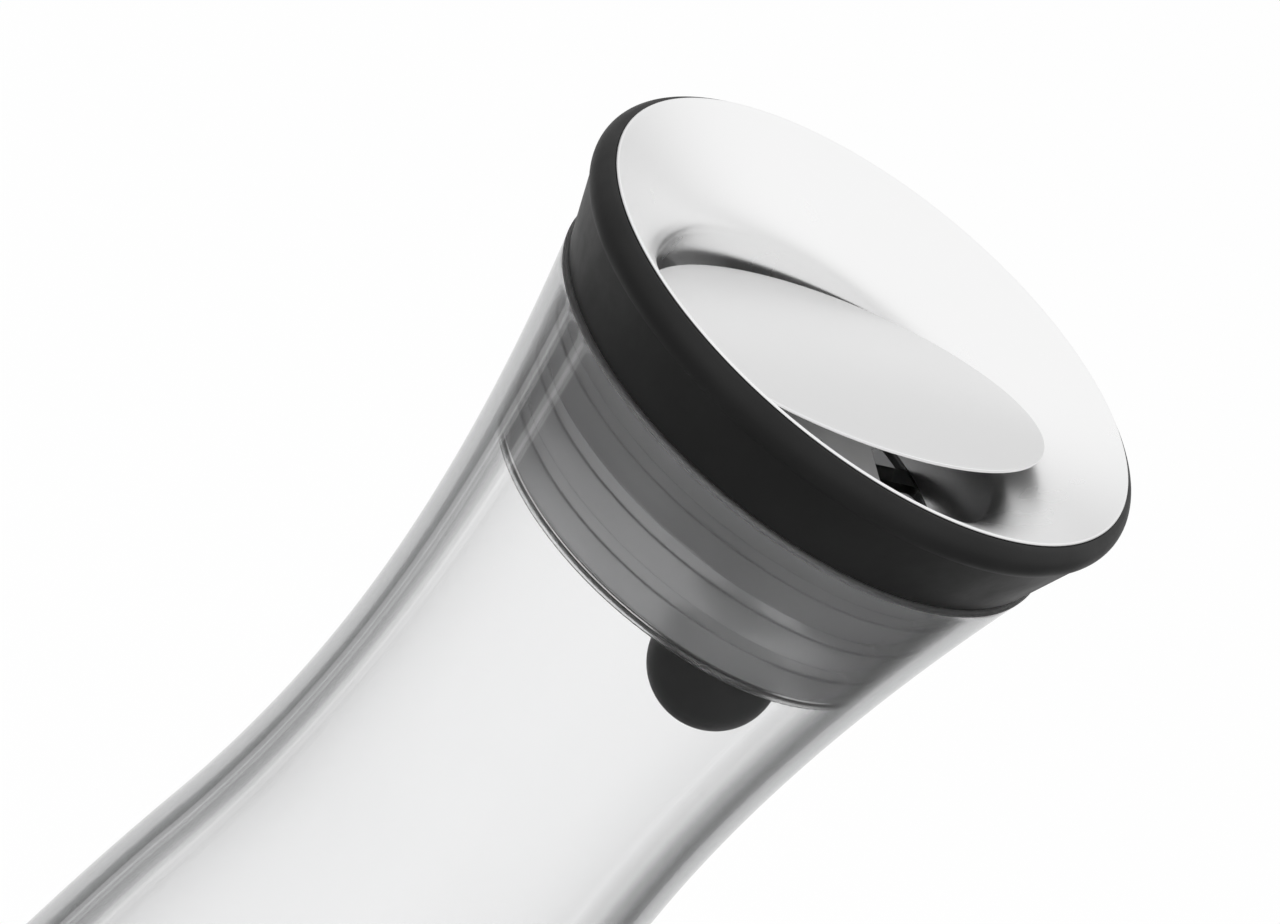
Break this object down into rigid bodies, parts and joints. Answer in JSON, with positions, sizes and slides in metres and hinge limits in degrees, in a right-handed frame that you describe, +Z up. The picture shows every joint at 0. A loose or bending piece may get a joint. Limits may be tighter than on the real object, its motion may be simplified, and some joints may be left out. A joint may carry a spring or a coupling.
{
  "type": "water carafe",
  "caption": "Waisted glass water carafe with a lift-out closure: a steel pouring funnel in a black silicone collar and a weighted disc that tips open when the carafe is tilted.",
  "frame": {"origin": "centre of the foot, on the surface that the carafe stands on", "axes": "+Z runs up the axis of the glass to the mouth; the disc is stored tipped open towards a point between +X and -Y, 26.5 degrees from +X"},
  "size_m": [0.0916, 0.0916, 0.2906],
  "materials": {
    "clear_glass": "clear blown glass, smooth and glossy",
    "polished_steel": "mirror-polished stainless steel",
    "satin_steel": "fine satin stainless steel",
    "black_silicone": "soft matte black silicone",
    "smoky_silicone": "translucent smoky grey silicone",
    "black_plastic": "smooth black moulded plastic",
    "grey_plastic": "smooth mid-grey moulded plastic",
    "pale_plastic": "white low-friction plastic"
  },
  "bodies": {
    "carafe": {"glass_body": "clear_glass"},
    "closure": {"pouring_funnel": "polished_steel", "silicone_collar": "black_silicone", "seal_sleeve": "smoky_silicone", "carrier_cage": "black_plastic", "sleeve_retainer": "black_plastic", "bearing_bridge": "grey_plastic"},
    "swivel": {"glide_ring": "pale_plastic"},
    "tipping_lid": {"closing_disc": "satin_steel", "disc_seal": "smoky_silicone", "rocker_plate": "grey_plastic", "stem": "satin_steel", "weight_core": "satin_steel", "weight_cover": "black_silicone"}
  },
  "joints": [
    {"name": "lid_lift", "type": "slide", "parent": "carafe", "child": "closure", "axis": [0, 0, 1], "range_m": [0, 0.12]},
    {"name": "tip_direction", "type": "hinge", "parent": "closure", "child": "swivel", "pos_m": [0, 0, 0.285], "axis": [0, 0, 1], "continuous": true},
    {"name": "disc_tip", "type": "hinge", "parent": "swivel", "child": "tipping_lid", "pos_m": [0, 0, 0.285], "axis": [-0.4462, -0.8949, 0], "range_deg": [-17.15, 0]}
  ]
}
